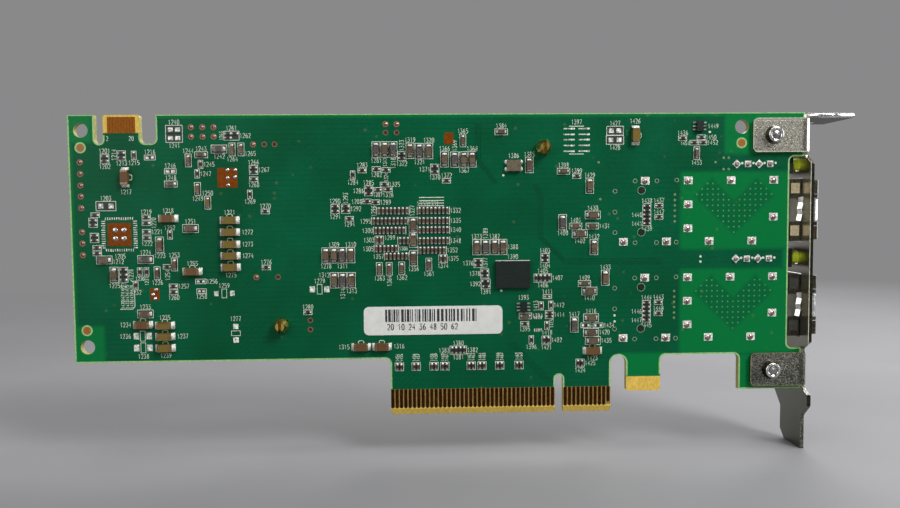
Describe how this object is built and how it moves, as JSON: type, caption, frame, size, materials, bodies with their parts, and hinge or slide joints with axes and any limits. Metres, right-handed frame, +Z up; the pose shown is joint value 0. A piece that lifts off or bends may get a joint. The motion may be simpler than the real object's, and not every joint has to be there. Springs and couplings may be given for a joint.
{
  "type": "fibre channel adapter",
  "caption": "Low-profile plug-in card with a keyed edge connector, a folded steel bracket, optical module cages, indicator lights and a finned heat sink.",
  "frame": {"origin": "middle of the key notch at the bottom of the card edge, half way through the board", "axes": "+X along the card towards the bracket, +Y out of the component side, +Z up from the card edge"},
  "size_m": [0.1798, 0.0186, 0.0787],
  "materials": {
    "laminate": "green solder mask over glass-epoxy laminate",
    "gold_plate": "worn gold over nickel",
    "label_stock": "smooth white sticker",
    "bracket_steel": "nickel-plated sheet, fine grain",
    "cage_steel": "bright nickel-plated sheet",
    "black_resin": "moulded black",
    "tinned_lead": "solder-coated",
    "lens_resin": "clear yellow-green",
    "sink_metal": "milled and clear anodised",
    "pad_rubber": "soft grey",
    "lid_metal": "nickel-plated lid",
    "substrate_resin": "green laminate",
    "pin_brass": "turned",
    "spring_steel": "wire",
    "capacitor_ceramic": "tan fired body",
    "resistor_glaze": "black glaze",
    "ferrite": "dark sintered",
    "oscillator_can": "pale can",
    "chip_resin": "moulded epoxy",
    "polymer_case": "moulded case"
  },
  "bodies": {
    "root": {"circuit_board": "laminate", "edge_contacts": "gold_plate", "debug_contacts": "gold_plate", "paper_label": "label_stock", "bracket": "bracket_steel", "bracket_screws": "bracket_steel", "cage_upper": "cage_steel", "cage_lower": "cage_steel", "emi_collar_upper": "cage_steel", "emi_collar_lower": "cage_steel", "host_connector_upper": "black_resin", "host_connector_lower": "black_resin", "led_housing_upper": "black_resin", "led_housing_lower": "black_resin", "led_lenses": "lens_resin", "led_leads": "tinned_lead", "controller_substrate": "substrate_resin", "controller_lid": "lid_metal", "thermal_pad": "pad_rubber", "heat_sink": "sink_metal", "push_pins": "pin_brass", "push_pin_springs": "spring_steel", "large_capacitors": "capacitor_ceramic", "medium_capacitors": "capacitor_ceramic", "ferrite_beads": "ferrite", "small_capacitors": "capacitor_ceramic", "decoupling_capacitors": "capacitor_ceramic", "coupling_capacitors": "capacitor_ceramic", "chip_resistors": "resistor_glaze", "oscillator": "oscillator_can", "flash_memory": "chip_resin", "logic_gates": "chip_resin", "logic_gate_leads": "tinned_lead", "power_inductors": "ferrite", "regulator_chips": "chip_resin", "polymer_capacitors": "polymer_case", "config_memory": "chip_resin", "config_memory_leads": "tinned_lead"}
  },
  "joints": []
}
